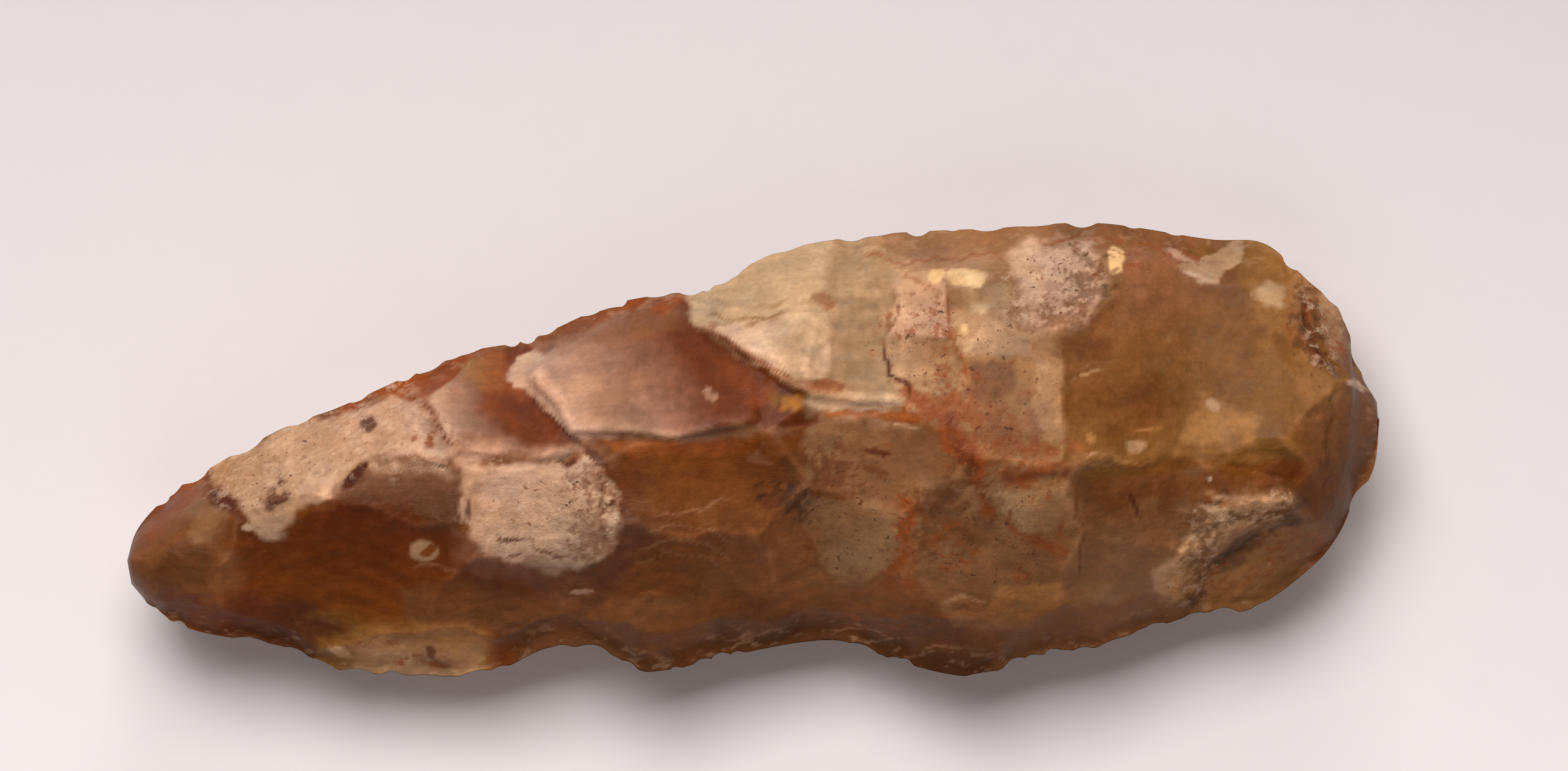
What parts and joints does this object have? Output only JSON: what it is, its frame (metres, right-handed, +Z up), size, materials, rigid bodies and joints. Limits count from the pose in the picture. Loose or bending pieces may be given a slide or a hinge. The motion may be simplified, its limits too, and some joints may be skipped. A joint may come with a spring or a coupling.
{
  "type": "flint axe head",
  "caption": "Chipped flint axe head, flaked over both faces, with a narrow thick butt and a broad rounded cutting edge; lies flat.",
  "frame": {"origin": "the middle of the bounding box's underside, so the axe head lies on z = 0", "axes": "+X along the length from the butt to the cutting edge, +Y across the faces towards the more curved long edge, +Z up out of the shown face"},
  "size_m": [0.15, 0.0544, 0.0337],
  "materials": {
    "flint": "glossy knapped stone, brown with cream and grey patches"
  },
  "bodies": {
    "root": {"axe_head": "flint"}
  },
  "joints": []
}
